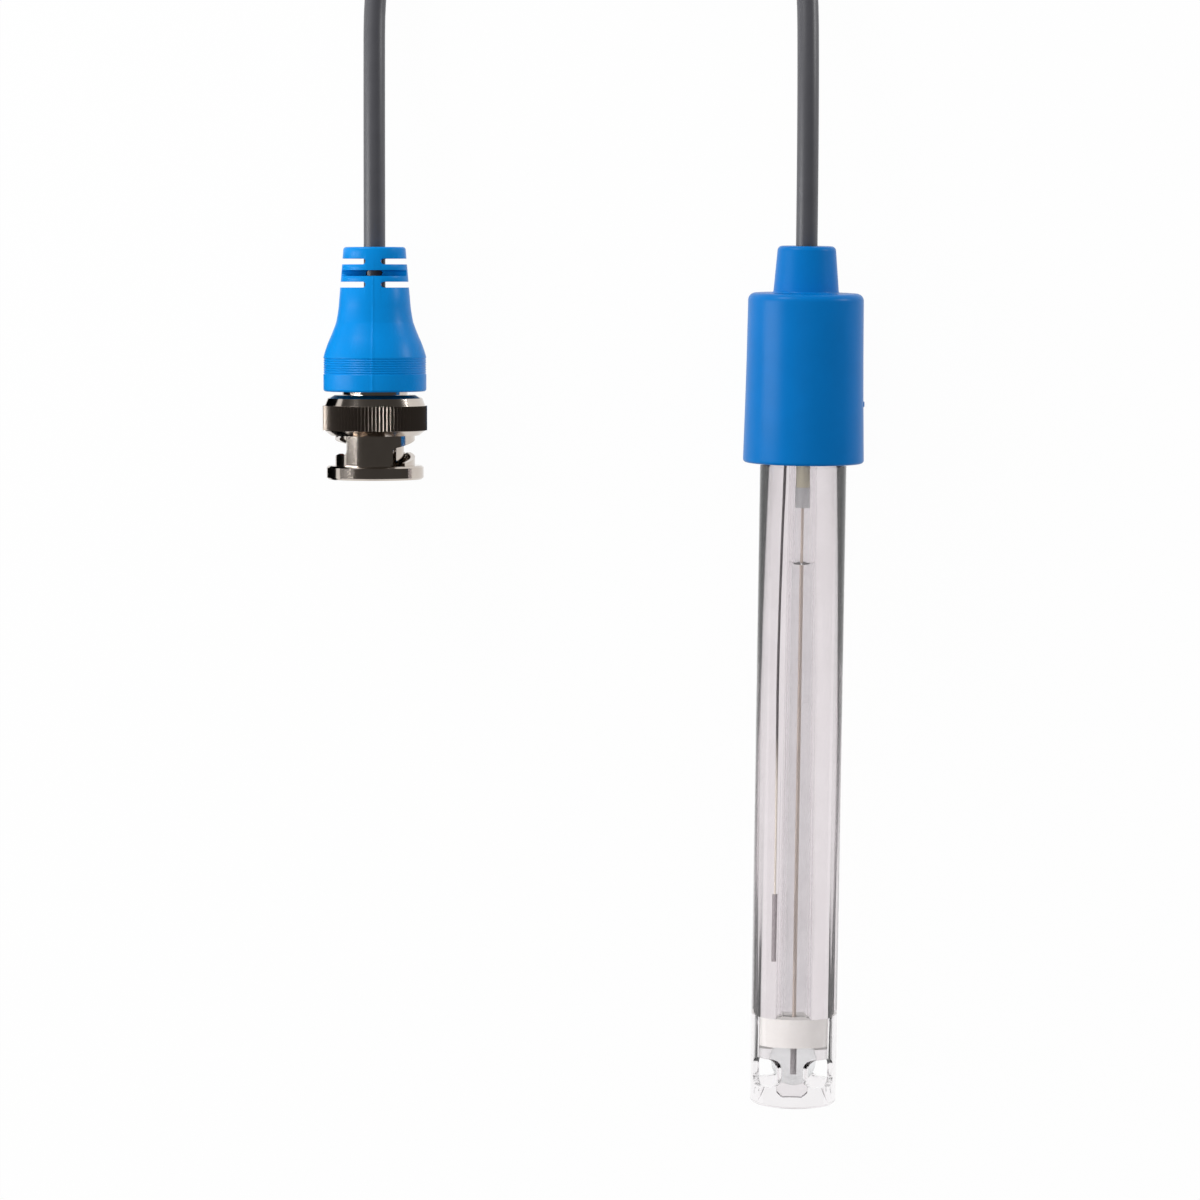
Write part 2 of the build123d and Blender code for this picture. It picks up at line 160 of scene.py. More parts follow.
# Cable
cable_d = 3.0
slip = 0.05


def upright(axis_out, origin):
    """Matrix from an upright frame in millimetres, Z towards the cable, to the floor frame in metres."""
    z = -Vector(axis_out).normalized()
    x = Vector((z.y, -z.x, 0)).normalized()
    y = z.cross(x)
    turn = Matrix((x, y, z)).transposed().to_4x4()
    return Matrix.Translation(Vector(origin)) @ turn @ Matrix.Scale(MM, 4)


tip_point = Vector(tube_grip["pos_m"]) + Vector(tube_grip["axis"]) * tip_to_grip * MM
electrode_place = upright(tube_grip["axis"], tip_point)
plug_place = upright(socket["axis"], socket["pos_m"])


def add(tree, kind, inputs=None, **settings):
    """Adds a node with its settings; an input's value is a number, a colour or another node's socket."""
    node = tree.nodes.new(kind)
    for name, value in settings.items():
        setattr(node, name, value)
    for name, value in (inputs or {}).items():
        socket_in = node.inputs[name]
        if isinstance(value, bpy.types.NodeSocket):
            tree.links.new(value, socket_in)
        else:
            socket_in.default_value = value
    return node


def colour(code):
    """Linear RGBA of an sRGB hex code."""
    parts = [int(code[i:i + 2], 16) / 255 for i in (1, 3, 5)]
    return [p / 12.92 if p <= 0.04045 else ((p + 0.055) / 1.055) ** 2.4 for p in parts] + [1.0]


def new_material(name, **shader_values):
    """A material with a Principled shader, whose named inputs get their values."""
    mat = bpy.data.materials.new(name)
    mat.use_nodes = True
    shader = mat.node_tree.nodes["Principled BSDF"]
    for key, value in shader_values.items():
        shader.inputs[key.replace("_", " ")].default_value = value
    return mat, mat.node_tree, shader


def mottled(tree, shader, light, dark, grain_mm, detail=3.0):
    """Base colour that wanders between two hex colours at a grain's size."""
    where = add(tree, "ShaderNodeTexCoord")
    noise = add(
        tree,
        "ShaderNodeTexNoise",
        {"Vector": where.outputs["Object"], "Scale": 1 / (grain_mm * MM), "Detail": detail},
    )
    ramp = add(tree, "ShaderNodeMix", {"Factor": noise.outputs["Fac"]}, data_type="RGBA")
    ramp.inputs["A"].default_value = colour(dark)
    ramp.inputs["B"].default_value = colour(light)
    tree.links.new(ramp.outputs["Result"], shader.inputs["Base Color"])


def bumpy(tree, shader, grain_mm, height_mm, detail=4.0):
    """Fine relief of a grain's size and height."""
    where = add(tree, "ShaderNodeTexCoord")
    noise = add(
        tree,
        "ShaderNodeTexNoise",
        {"Vector": where.outputs["Object"], "Scale": 1 / (grain_mm * MM), "Detail": detail},
    )
    bump = add(
        tree,
        "ShaderNodeBump",
        {"Height": noise.outputs["Fac"], "Distance": height_mm * MM, "Strength": 1.0},
    )
    tree.links.new(bump.outputs["Normal"], shader.inputs["Normal"])


def soft_vinyl(name, light, dark):
    """Moulded azure plastic: satin, with soft highlights and a faint moulded grain."""
    mat, tree, shader = new_material(name, Roughness=0.34, IOR=1.53, Specular_IOR_Level=0.1)
    mottled(tree, shader, light, dark, 3.0)
    bumpy(tree, shader, 0.35, 0.006)
    return mat


def grey_jacket():
    """Extruded PVC cable jacket in dark grey: satin, smooth along its length."""
    mat, tree, shader = new_material("Extruded PVC dark grey", Roughness=0.42, IOR=1.53)
    mottled(tree, shader, "#4E4E53", "#46464B", 2.5)
    bumpy(tree, shader, 0.5, 0.004)
    return mat


def clear_plastic():
    """Extruded clear polycarbonate: sharp reflections, a breath of lilac in its thickness."""
    mat, tree, shader = new_material(
        "Extruded clear polycarbonate", Roughness=0.02, IOR=1.49, Transmission_Weight=1.0
    )
    mottled(tree, shader, "#FAF8F9", "#F3F0F1", 6.0)
    return mat


def stem_glass():
    """Drawn borosilicate glass: colourless and fire-polished."""
    mat, tree, shader = new_material(
        "Drawn borosilicate glass", Roughness=0.0, IOR=1.47, Transmission_Weight=1.0
    )
    mottled(tree, shader, "#FDFEFE", "#F8FAFA", 5.0)
    return mat


def clear_fill(name, light, dark, ior):
    """A clear watery fill."""
    mat, tree, shader = new_material(name, Roughness=0.0, IOR=ior, Transmission_Weight=1.0)
    mottled(tree, shader, light, dark, 4.0)
    return mat


def porous_white():
    """Sintered polyethylene: chalk white and matt, with fine pores."""
    mat, tree, shader = new_material("Sintered white polyethylene", Roughness=0.75, IOR=1.5)
    mottled(tree, shader, "#F6F4F1", "#ECE9E5", 0.4)
    bumpy(tree, shader, 0.25, 0.02)
    return mat


def drawn_silver():
    """Drawn silver wire, slightly warm where tarnish has formed."""
    mat, tree, shader = new_material("Drawn silver wire", Roughness=0.45, Metallic=0.5)
    mottled(tree, shader, "#EBDDD0", "#DDC9B8", 1.5)
    return mat


def silver_chloride():
    """Fused silver chloride on silver: mottled grey, dull, with darker flecks."""
    mat, tree, shader = new_material("Fused silver chloride", Roughness=0.7)
    mottled(tree, shader, "#C9C2C4", "#7D7478", 0.5, 6.0)
    bumpy(tree, shader, 0.2, 0.03)
    return mat


def cream_sleeve():
    """Cream vinyl sleeving: matt, slightly yellow."""
    mat, tree, shader = new_material("Cream vinyl sleeving", Roughness=0.55)
    mottled(tree, shader, "#EFE9CF", "#DCD3AE", 0.8)
    return mat


def clear_silicone():
    """Cured silicone sealant: milky and translucent."""
    mat, tree, shader = new_material("Cured milky silicone", Roughness=0.5, IOR=1.41)
    mottled(tree, shader, "#E4E4E4", "#D6D7D8", 0.8)
    bumpy(tree, shader, 0.5, 0.02)
    return mat


def nickel():
    """Nickel plate on turned brass: bright where it is turned, rougher where the knurl is rolled, where
    painted shade darkens its colour.
    """
    mat, tree, shader = new_material("Nickel plate on turned brass", Metallic=1.0)
    mottled(tree, shader, "#CFC6BD", "#BDB3AA", 2.0)
    bumpy(tree, shader, 0.15, 0.002)
    where = add(tree, "ShaderNodeTexCoord")
    parts = add(tree, "ShaderNodeSeparateXYZ", {"Vector": where.outputs["Object"]})
    knurl_y = (plug_place @ Vector((0, 0, knurl_h))).y
    rolled = add(
        tree,
        "ShaderNodeMath",
        {0: parts.outputs["Y"], 1: knurl_y, 2: knurl_w / 2 * MM},
        operation="COMPARE",
    )
    rough = add(
        tree,
        "ShaderNodeMapRange",
        {"Value": rolled.outputs[0], "To Min": turned_roughness, "To Max": knurl_roughness},
    )
    tree.links.new(rough.outputs["Result"], shader.inputs["Roughness"])
    # Painted shade: the knurl band's colour is darkened to stand for the shade in its grooves; its
    # greater roughness is real
    turned_tone = shader.inputs["Base Color"].links[0].from_socket
    tone = add(tree, "ShaderNodeMix", {"Factor": rolled.outputs[0]}, data_type="RGBA")
    tree.links.new(turned_tone, tone.inputs["A"])
    tone.inputs["B"].default_value = colour("#8A8078")
    tree.links.new(tone.outputs["Result"], shader.inputs["Base Color"])
    return mat


def gold():
    """Gold plate on the turned pin."""
    mat, tree, shader = new_material("Gold plate", Roughness=0.2, Metallic=1.0)
    mottled(tree, shader, "#E8BE62", "#D9AA4A", 1.0)
    return mat


def plain_plastic(name, light, dark, roughness):
    """Turned or moulded plastic with a fine matt grain."""
    mat, tree, shader = new_material(name, Roughness=roughness)
    mottled(tree, shader, light, dark, 1.0)
    bumpy(tree, shader, 0.3, 0.01)
    return mat


def plain_metal(name, light, dark, roughness):
    """Metal with a faintly uneven tone."""
    mat, tree, shader = new_material(name, Roughness=roughness, Metallic=1.0)
    mottled(tree, shader, light, dark, 0.8)
    bumpy(tree, shader, 0.2, 0.004)
    return mat


def silver_with_painted_dark_reflection():
    """Drawn silver wire with a painted dark reflection: dark towards the cap, bright towards its
    element.
    """
    mat, tree, shader = new_material("Silver wire with painted dark reflection", Roughness=0.4, Metallic=0.3)
    where = add(tree, "ShaderNodeTexCoord")
    parts = add(tree, "ShaderNodeSeparateXYZ", {"Vector": where.outputs["Object"]})
    edge_y = (electrode_place @ Vector((0, 0, painted_dark_h))).y
    share = add(
        tree,
        "ShaderNodeMapRange",
        {
            "Value": parts.outputs["Y"],
            "From Min": edge_y - painted_dark_fade * MM,
            "From Max": edge_y + painted_dark_fade * MM,
        },
    )
    # Painted dark reflection: the wire is coloured dark towards the cap and bright towards its element
    mix = add(tree, "ShaderNodeMix", {"Factor": share.outputs["Result"]}, data_type="RGBA")
    mix.inputs["A"].default_value = colour("#F3EBDD")
    mix.inputs["B"].default_value = colour("#4A4446")
    tree.links.new(mix.outputs["Result"], shader.inputs["Base Color"])
    return mat


finishes = {
    "clear_tube": clear_plastic(),
    "stem_glass": stem_glass(),
    "blue_vinyl": soft_vinyl("Moulded flexible PVC azure", "#008ADC", "#0082D0"),
    "cap_plastic": soft_vinyl("Moulded cap plastic azure", "#0074C2", "#006EB8"),
    "white_junction": porous_white(),
    "silver": drawn_silver(),
    "silver_painted_dark_reflection": silver_with_painted_dark_reflection(),
    "silver_chloride": silver_chloride(),
    "clear_silicone": clear_silicone(),
    "cream_sleeve": cream_sleeve(),
    "buffer": clear_fill("Buffer solution", "#FDFDFD", "#F8F8F8", 1.34),
    "gel": clear_fill("Electrolyte gel", "#FBF9FA", "#F3F0F1", 1.36),
    "core_plastic": plain_plastic("Extruded polyethylene core", "#E9E9E4", "#DADAD4", 0.5),
    "copper": plain_metal("Tinned copper strands", "#D9A184", "#B97F63", 0.35),
    "solder": plain_metal("Solder", "#C9C9CC", "#A4A4A8", 0.4),
    "epoxy": plain_plastic("Cast black epoxy", "#2C2C2E", "#222224", 0.3),
    "nickel": nickel(),
    "steel": plain_metal("Spring steel", "#B9B7B5", "#9C9A98", 0.3),
    "silicone": plain_plastic("Moulded red silicone", "#B4402F", "#9C3426", 0.5),
    "white_plastic": plain_plastic("Turned white acetal", "#F1F0EC", "#E4E2DD", 0.4),
    "gold": gold(),
    "grey_jacket": grey_jacket(),
}

slots = {part["node"]: part["material_slot"] for part in frame["record"]["subparts"]}
for name, obj in nodes.items():
    obj.data.materials.clear()
    obj.data.materials.append(finishes[slots[name]])


def link(name, data):
    """An object of the scene that holds a mesh, curve, lamp or camera."""
    obj = bpy.data.objects.new(name, data)
    bpy.context.scene.collection.objects.link(obj)
    return obj


def profile(bm, outline, rounds, closed):
    """A wire in the XZ plane through radius and height pairs, with some corners rounded."""
    verts = [bm.verts.new((r, 0, z)) for r, z in outline]
    pairs = list(zip(verts, verts[1:]))
    if closed:
        pairs.append((verts[-1], verts[0]))
    for start, end in pairs:
        bm.edges.new((start, end))
    for corner, size in rounds.items():
        bmesh.ops.bevel(
            bm,
            geom=[verts[corner]],
            offset=size,
            segments=8,
            profile=0.5,
            affect="VERTICES",
            material=-1,
        )


def turned(name, outline, rounds=None, closed=False, steps=128):
    """A piece turned about its axis from a half outline, still in its upright frame."""
    bm = bmesh.new()
    profile(bm, outline, rounds or {}, closed)
    bmesh.ops.spin(
        bm,
        geom=bm.verts[:] + bm.edges[:],
        cent=(0, 0, 0),
        axis=(0, 0, 1),
        dvec=(0, 0, 0),
        angle=math.tau,
        steps=steps,
        use_merge=True,
        use_normal_flip=False,
        use_duplicate=False,
    )
    bmesh.ops.remove_doubles(bm, verts=bm.verts, dist=touching)
    bmesh.ops.recalc_face_normals(bm, faces=bm.faces)
    mesh = bpy.data.meshes.new(name)
    bm.to_mesh(mesh)
    bm.free()
    return link(name, mesh)


def block(name, low, high, rounded=None, size=0.0):
    """A box between two corners, with the edges along one axis rounded."""
    bm = bmesh.new()
    bmesh.ops.create_cube(bm, size=1.0)
    spans = [b - a for a, b in zip(low, high)]
    middle = [(a + b) / 2 for a, b in zip(low, high)]
    bmesh.ops.scale(bm, vec=spans, verts=bm.verts)
    bmesh.ops.translate(bm, vec=middle, verts=bm.verts)
    if rounded:
        axis, keep = rounded
        edges = [
            edge
            for edge in bm.edges
            if abs(edge.verts[0].co[axis] - edge.verts[1].co[axis]) > touching
            and all(keep(v.co) for v in edge.verts)
        ]
        bmesh.ops.bevel(
            bm, geom=edges, offset=size, segments=8, profile=0.5, affect="EDGES", material=-1
        )
    mesh = bpy.data.meshes.new(name)
    bm.to_mesh(mesh)
    bm.free()
    return link(name, mesh)


def finished(obj):
    """The same object, its modifiers applied to its mesh."""
    made = bpy.data.meshes.new_from_object(obj.evaluated_get(bpy.context.evaluated_depsgraph_get()))
    obj.modifiers.clear()
    obj.data = made
    return obj


def cut(obj, cutters):
    """Takes the cutters out of a piece."""
    for cutter in cutters:
        tool = obj.modifiers.new("cut", "BOOLEAN")
        tool.operation = "DIFFERENCE"
        tool.solver = "EXACT"
        tool.object = cutter
    finished(obj)
    for cutter in cutters:
        bpy.data.objects.remove(cutter)


def softened(obj, size, angle=40.0):
    """Rounds the sharp edges that the cutting left."""
    tool = obj.modifiers.new("softened", "BEVEL")
    tool.width = size
    tool.segments = 2
    tool.limit_method = "ANGLE"
    tool.angle_limit = math.radians(angle)
    finished(obj)


def set_down(obj, place, finish, slot, *replaced):
    """Puts a finished piece in its place, dresses it and hides the nodes it stands for."""
    obj.data.transform(place)
    if place.is_negative:
        obj.data.flip_normals()
    obj.data.shade_smooth()
    obj.data.set_sharp_from_angle(angle=math.radians(32))
    obj.data.materials.clear()
    obj.data.materials.append(finishes[finish])
    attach(obj, "root")
    if replaced:
        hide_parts(*replaced)
    return obj


def clear_tube():
    """The clear tube, its tip edges polished round, with the guard's four windows."""
    tube = turned(
        "clear_body_tube",
        [
            (bore_d / 2, 0),
            (tube_d / 2, 0),
            (tube_d / 2, seat_low_h),
            (seat_d / 2, seat_low_h),
            (seat_d / 2, tube_top_h),
            (bore_d / 2, tube_top_h),
        ],
        {0: bore_round, 1: tip_edge},
        closed=True,
        steps=192,
    )
    cutters = []
    for i in range(4):
        window = block(
            "window",
            (-window_w / 2, -tube_d, window_low_h),
            (window_w / 2, 0, window_low_h + window_h),
            rounded=(1, lambda corner: True),
            size=window_corner,
        )
        window.data.transform(Matrix.Rotation(math.radians(window_turn + 90 * i + 45), 4, "Z"))
        cutters.append(window)
    cut(tube, cutters)
    softened(tube, window_soften)
    return set_down(tube, electrode_place, "clear_tube", "clear_tube", "body_tube")


def glass_stem():
    """The inner glass tube, swelling through a soft neck into the thin round bulb."""
    bulb_r = bulb_d / 2
    stem_r = stem_d / 2
    inner_r = bulb_r - bulb_wall
    bore_r = stem_bore_d / 2
    high_h = bulb_low_h + 2 * bulb_r
    stem = turned(
        "glass_stem_and_bulb",
        [
            (0, bulb_low_h),
            (bulb_r, bulb_low_h),
            (bulb_r, high_h),
            (stem_r, high_h),
            (stem_r, stem_top_h),
            (bore_r, stem_top_h),
            (bore_r, high_h - bulb_wall),
            (inner_r, high_h - bulb_wall),
            (inner_r, bulb_low_h + bulb_wall),
            (0, bulb_low_h + bulb_wall),
        ],
        {
            1: bulb_r * full_round,
            2: (bulb_r - stem_r) * full_round,
            8: inner_r * full_round,
            7: (inner_r - bore_r) * full_round,
        },
        steps=96,
    )
    return set_down(stem, electrode_place, "stem_glass", "stem_glass", "glass_stem")


def buffer_fill():
    """Buffer solution in the bulb and stem, a hair into the glass, with its meniscus."""
    fill_r = bulb_d / 2 - bulb_wall + overlap
    bore_r = stem_bore_d / 2 + overlap
    low_h = bulb_low_h + bulb_wall - overlap
    high_h = bulb_low_h + bulb_d - bulb_wall
    fill = turned(
        "buffer_solution",
        [
            (0, low_h),
            (fill_r, low_h),
            (fill_r, high_h),
            (bore_r, high_h),
            (bore_r, buffer_top_h + meniscus_rim_h),
            (bore_r * 0.8, buffer_top_h + meniscus_slope_h),
            (bore_r * 0.4, buffer_top_h),
            (0, buffer_top_h),
        ],
        {1: fill_r * full_round, 2: (fill_r - bore_r) * full_round},
        steps=96,
    )
    return set_down(fill, electrode_place, "buffer", "buffer", "inner_buffer")


def gel_fill():
    """Gel between tube and stem, a hair into both walls."""
    gel = turned(
        "electrolyte_gel",
        [
            (stem_d / 2 - overlap, junction_top_h),
            (bore_d / 2 + overlap, junction_top_h),
            (bore_d / 2 + overlap, potting_low_h),
            (stem_d / 2 - overlap, potting_low_h),
        ],
        closed=True,
        steps=192,
    )
    return set_down(gel, electrode_place, "gel", "gel", "reference_gel")


def bowed_wire():
    """The reference wire, slightly bowed, as soft silver wire hangs in its gel."""
    curve = bpy.data.curves.new("bowed_reference_wire", "CURVE")
    curve.dimensions = "3D"
    curve.bevel_depth = reference_wire_d / 2 * MM
    curve.bevel_resolution = 3
    curve.use_fill_caps = True
    spline = curve.splines.new("NURBS")
    spline.points.add(len(reference_points) - 1)
    for control, (height, left, forward) in zip(spline.points, reference_points):
        control.co = [*(electrode_place @ Vector((-left, -forward, height))), 1]
    spline.order_u = 3
    spline.use_endpoint_u = True
    wire = link("bowed_reference_wire", curve)
    curve.materials.append(finishes["silver_painted_dark_reflection"])
    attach(wire, "root")
    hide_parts("reference_wire")
    return wire


def blue_cap():
    """The blue cap with its spout: soft moulded edges and the trimmed gate on its side."""
    roof_h = tube_top_h + slip
    cap = turned(
        "moulded_cap",
        [
            (seat_d / 2 + slip, rim_h),
            (rim_d / 2, rim_h),
            (cap_middle_d / 2, cap_middle_h),
            (cap_top_d / 2, cap_top_h),
            (spout_foot_d / 2, cap_top_h),
            (mouth_d / 2, mouth_h),
            (cable_d / 2 + slip, mouth_h),
            (cable_d / 2 + slip, roof_h),
            (seat_d / 2 + slip, roof_h),
        ],
        {
            0: rim_inner_round,
            1: rim_round,
            2: cap_middle_round,
            3: cap_edge_round,
            4: spout_foot_round,
            5: mouth_round,
            6: mouth_inner_round,
        },
        closed=True,
        steps=160,
    )
    bm = bmesh.new()
    bm.from_mesh(cap.data)
    gate_place = Matrix.Translation(gate_point) @ Matrix.Rotation(math.pi / 2, 4, "Y")
    bmesh.ops.create_cone(
        bm,
        cap_ends=True,
        segments=20,
        radius1=gate_foot_r,
        radius2=gate_end_r,
        depth=gate_length,
        matrix=gate_place,
    )
    bm.to_mesh(cap.data)
    bm.free()
    return set_down(cap, electrode_place, "cap_plastic", "blue_vinyl", "cap")


def blue_boot():
    """The plug's boot: a slotted neck, an S-shaped shoulder, fine ribs and a parting line."""
    waist_h = boot_top_h - boot_waist_drop
    full_h = boot_top_h - boot_full_drop
    middle_r = (boot_waist_d + boot_d) / 4
    middle_h = (waist_h + full_h) / 2
    outline = [
        (cable_d / 2 + slip, boot_top_h),
        (boot_top_d / 2, boot_top_h),
        (boot_waist_d / 2, waist_h),
        (boot_waist_d / 2 + shoulder_out, waist_h - shoulder_step),
        (middle_r, middle_h),
        (boot_d / 2 - shoulder_in, full_h + shoulder_step),
    ]
    rounds = {1: boot_edge_round, 2: waist_round, 3: shoulder_round, 5: boot_full_round}
    for i in range(rib_count):
        rib_h = boot_top_h - rib_drop - i * rib_pitch
        outline.append((boot_d / 2, rib_h + rib_pitch / 2))
        outline.append((boot_d / 2 - rib_depth, rib_h))
    outline += [
        (boot_d / 2, boot_top_h - rib_drop - (rib_count - 0.5) * rib_pitch),
        (boot_d / 2, boot_low_h),
        (neck_d / 2 + slip, boot_low_h),
        (neck_d / 2 + slip, neck_top_h),
        (ferrule_d / 2 + slip, neck_top_h),
        (ferrule_d / 2 + slip, ferrule_top_h),
        (cable_d / 2 + slip, ferrule_top_h),
    ]
    rounds[outline.index((boot_d / 2, boot_low_h))] = boot_edge_round
    boot = turned("moulded_boot", outline, rounds, closed=True, steps=192)
    # The parting line: the row of outer points front and back stands a little proud
    for vert in boot.data.vertices:
        reach = math.hypot(vert.co.x, vert.co.y)
        if reach > ferrule_d and abs(vert.co.x) < parting_reach:
            vert.co.y *= 1 + parting_h / reach
    cutters = []
    for i in range(3):
        slot_top = boot_top_h - boot_ring_h - i * slot_pitch
        for side in (0, 180):
            slot = block(
                "slot",
                (web_w / 2, -boot_d, slot_top - slot_h),
                (boot_d, boot_d, slot_top),
                rounded=(1, lambda corner: corner.x < web_w),
                size=slot_end_round,
            )
            slot.data.transform(Matrix.Rotation(math.radians(side + 90 * (i % 2)), 4, "Z"))
            cutters.append(slot)
    cut(boot, cutters)
    softened(boot, slot_soften, slot_soften_angle)
    return set_down(boot, plug_place, "blue_vinyl", "blue_vinyl", "plug_boot")


# The cable's route: control points in millimetres, as laid on the floor
coil_x = -30.4
coil_y = 132.0
coil_turn_r = 16.3
coil_pitch = 3.05
floor_z = cable_d / 2
lead_straight = 15.0
hidden_h = 12.0
coil_outer = coil_turn_r + coil_pitch


def on_axis(place, height):
    """A point of a piece's axis, in millimetres of the floor frame."""
    return tuple((place @ Vector((0, 0, height))) / MM)


electrode_route = [
    on_axis(electrode_place, mouth_h - hidden_h),
    on_axis(electrode_place, mouth_h + lead_straight),
    (-0.3, 106.5, floor_z),
    (coil_x + coil_outer, 122.5, floor_z),
    (coil_x + coil_outer, 130.5, floor_z),
]
plug_route = [
    on_axis(plug_place, boot_top_h - hidden_h),
    on_axis(plug_place, boot_top_h + lead_straight),
    (-60.6, 103.5, floor_z),
    (coil_x - coil_outer, 121.0, 7.0),
    (coil_x - coil_outer, 130.5, 7.6),
]

# Each turn's place in the coil's section: columns inside to outside, rows bottom to top
coil_cells = [(2, 0), (1, 0), (0, 0), (0, 1), (0, 2), (1, 2), (1, 1), (2, 1), (2, 2)]
first_change = 320.0
last_change = 2740.0
change_width = 30.0
coil_end = 3060.0
points_per_turn = 18


def coil_cell(angle):
    """Column and row at an angle along the coil, easing from cell to cell in short windows."""
    changes = len(coil_cells) - 1
    column, row = coil_cells[0]
    for i in range(changes):
        middle = first_change + (last_change - first_change) * i / (changes - 1)
        t = min(max((angle - middle) / change_width + 0.5, 0), 1)
        ease = t * t * (3 - 2 * t)
        column += ease * (coil_cells[i + 1][0] - coil_cells[i][0])
        row += ease * (coil_cells[i + 1][1] - coil_cells[i][1])
    return column, row


def coil_points():
    """Control points of the turns, a little outside them because the curve cuts their corners."""
    step = 360 / points_per_turn
    outward = 1 / math.cos(math.radians(step / 2))
    points = []
    angle = step / 2
    while angle < coil_end:
        column, row = coil_cell(angle)
        radius = (coil_turn_r + (column - 1) * coil_pitch) * outward
        turn = math.radians(angle)
        points.append(
            (
                coil_x + radius * math.cos(turn),
                coil_y + radius * math.sin(turn),
                floor_z + row * coil_pitch,
            )
        )
        angle += step
    return points


def cable():
    """The whole cable as one smooth curve, from inside the spout to inside the boot."""
    points = electrode_route + coil_points() + plug_route[::-1]
    curve = bpy.data.curves.new("cable", "CURVE")
    curve.dimensions = "3D"
    curve.bevel_depth = cable_d / 2 * MM
    curve.bevel_resolution = 7
    curve.resolution_u = 12
    curve.use_fill_caps = True
    spline = curve.splines.new("NURBS")
    spline.points.add(len(points) - 1)
    for control, point in zip(spline.points, points):
        control.co = [value * MM for value in point] + [1]
    spline.order_u = 3
    spline.use_endpoint_u = True
    obj = link("cable", curve)
    curve.materials.append(finishes["grey_jacket"])
    return obj


cord = cable()
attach(cord, "root")
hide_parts("cable_lead_electrode", "cable_coil", "cable_lead_plug")

# Camera: a long lens above the cap's top, looking slightly towards the tip
camera_at = Vector((-28.0, 54.0, 658.0)) * MM
aim_at = Vector((-28.0, 10.4, 7.0)) * MM
camera_roll = 0.72
view_h = 167.4 * MM
sensor = 36.0


def camera():
    data = bpy.data.cameras.new("camera")
    obj = link("camera", data)
    back = (camera_at - aim_at).normalized()
    roll = math.radians(camera_roll)
    right = Vector((-math.sin(roll), math.cos(roll), 0)).cross(back).normalized()
    up = back.cross(right)
    obj.matrix_world = Matrix.Translation(camera_at) @ Matrix((right, up, back)).transposed().to_4x4()
    data.sensor_width = sensor
    data.lens = sensor * (camera_at - aim_at).length / view_h
    bpy.context.scene.camera = obj


def lamp(name, size, place, aim, power):
    """A soft rectangular lamp that faces a point; places in millimetres, power in watts."""
    data = bpy.data.lights.new(name, "AREA")
    data.shape = "RECTANGLE"
    data.size = size[0] * MM
    data.size_y = size[1] * MM
    data.energy = power
    obj = link(name, data)
    obj.visible_transmission = False
    at = Vector(place) * MM
    facing = (Vector(aim) * MM - at).to_track_quat("-Z", "Y")
    obj.matrix_world = Matrix.Translation(at) @ facing.to_matrix().to_4x4()
    return obj


floor_side = 4000.0
floor_glow = 0.97


def floor():
    """A white floor that keeps a faint shadow."""
    bm = bmesh.new()
    bmesh.ops.create_grid(bm, x_segments=1, y_segments=1, size=floor_side * MM / 2)
    mesh = bpy.data.meshes.new("floor")
    bm.to_mesh(mesh)
    bm.free()
    obj = link("floor", mesh)
    mat = bpy.data.materials.new("White floor")
    mat.use_nodes = True
    tree = mat.node_tree
    tree.nodes.clear()
    matt = add(tree, "ShaderNodeBsdfDiffuse", {"Color": (0.9, 0.9, 0.9, 1)})
    glow = add(tree, "ShaderNodeEmission", {"Color": (1, 1, 1, 1), "Strength": 1.0})
    rays = add(tree, "ShaderNodeLightPath")
    seen = add(
        tree,
        "ShaderNodeMath",
        {0: rays.outputs["Is Camera Ray"], 1: rays.outputs["Is Glossy Ray"]},
        operation="ADD",
    )
    seen = add(
        tree,
        "ShaderNodeMath",
        {0: seen.outputs[0], 1: rays.outputs["Is Transmission Ray"]},
        operation="ADD",
        use_clamp=True,
    )
    share = add(tree, "ShaderNodeMath", {0: seen.outputs[0], 1: floor_glow}, operation="MULTIPLY")
    mix = add(
        tree,
        "ShaderNodeMixShader",
        {"Fac": share.outputs[0], 1: matt.outputs[0], 2: glow.outputs[0]},
    )
    add(tree, "ShaderNodeOutputMaterial", {"Surface": mix.outputs[0]})
    mesh.materials.append(mat)


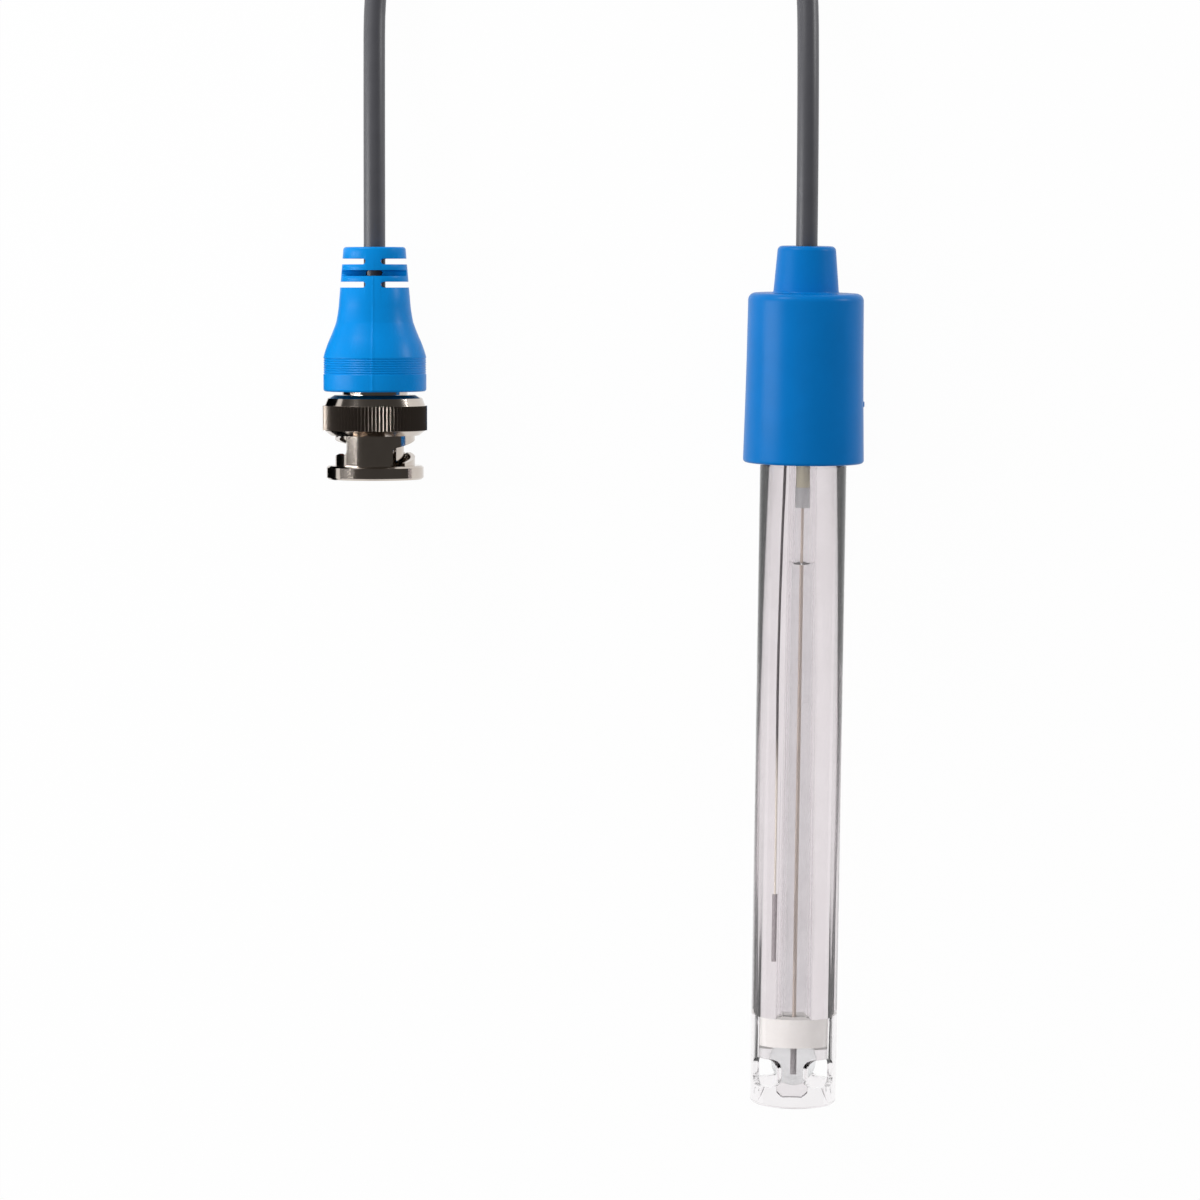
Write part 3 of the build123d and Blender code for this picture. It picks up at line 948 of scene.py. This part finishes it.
def world():
    """Soft grey light, dark in reflections, white to the camera and through the clear pieces."""
    data = bpy.data.worlds.new("studio")
    bpy.context.scene.world = data
    data.use_nodes = True
    tree = data.node_tree
    tree.nodes.clear()
    rays = add(tree, "ShaderNodeLightPath")
    dim = add(tree, "ShaderNodeBackground", {"Color": (0.6, 0.6, 0.6, 1), "Strength": 0.6})
    dark = add(tree, "ShaderNodeBackground", {"Color": (0.07, 0.066, 0.062, 1), "Strength": 1.0})
    white = add(tree, "ShaderNodeBackground", {"Color": (1, 1, 1, 1), "Strength": 1.0})
    glossy = add(
        tree,
        "ShaderNodeMixShader",
        {"Fac": rays.outputs["Is Glossy Ray"], 1: dim.outputs[0], 2: dark.outputs[0]},
    )
    straight = add(
        tree,
        "ShaderNodeMath",
        {0: rays.outputs["Is Camera Ray"], 1: rays.outputs["Is Transmission Ray"]},
        operation="MAXIMUM",
    )
    seen = add(
        tree,
        "ShaderNodeMixShader",
        {"Fac": straight.outputs[0], 1: glossy.outputs[0], 2: white.outputs[0]},
    )
    add(tree, "ShaderNodeOutputWorld", {"Surface": seen.outputs[0]})


card_low = (-71.0, 20.0, 0.2)
card_high = (-70.0, 58.0, 10.0)


def card():
    """A black card beside the plug that is seen only in reflections."""
    obj = block("plug_card", [a * MM for a in card_low], [b * MM for b in card_high])
    mat = bpy.data.materials.new("Black card")
    mat.use_nodes = True
    mat.node_tree.nodes.clear()
    black = add(mat.node_tree, "ShaderNodeBsdfDiffuse", {"Color": (0.004, 0.004, 0.004, 1)})
    add(mat.node_tree, "ShaderNodeOutputMaterial", {"Surface": black.outputs[0]})
    obj.data.materials.append(mat)
    obj.visible_camera = False
    obj.visible_diffuse = False
    obj.visible_shadow = False
    obj.visible_transmission = False


# Lamp light reaches the pieces inside the clear ones as it does through real glass
clear_pieces = [clear_tube(), glass_stem(), buffer_fill(), gel_fill()]
for clear_piece in clear_pieces:
    clear_piece.visible_shadow = False
bowed_wire()
blue_cap()
blue_boot()

camera()
floor()
world()
card()
side_lamps = [
    lamp("key_strip", (34, 500), (-570, 60, 130), (-20, 20, 5), 1.8),
    lamp("top_left", (220, 160), (-330, 480, 190), (-40, 40, 5), 1.6),
    lamp("right", (100, 120), (500, 300, 70), (-20, 40, 5), 1.0),
]
ceiling = lamp("ceiling", (400, 400), (-150, 0, 720), (-20, 20, 0), 1.0)
ceiling.visible_glossy = False

# The side lamps leave no glints in the clear pieces
unlit = bpy.data.collections.new("clear pieces")
for clear_piece in clear_pieces:
    unlit.objects.link(clear_piece)
for side_lamp in side_lamps:
    side_lamp.light_linking.receiver_collection = unlit
for entry in unlit.collection_objects:
    entry.light_linking.link_state = "EXCLUDE"

# Light passes the tube, gel, glass and buffer, in and out: fourteen surfaces
deep_bounces = 24
bpy.context.scene.cycles.max_bounces = deep_bounces
bpy.context.scene.cycles.transmission_bounces = deep_bounces
bpy.context.scene.cycles.glossy_bounces = deep_bounces

bpy.context.scene.view_settings.view_transform = "Standard"
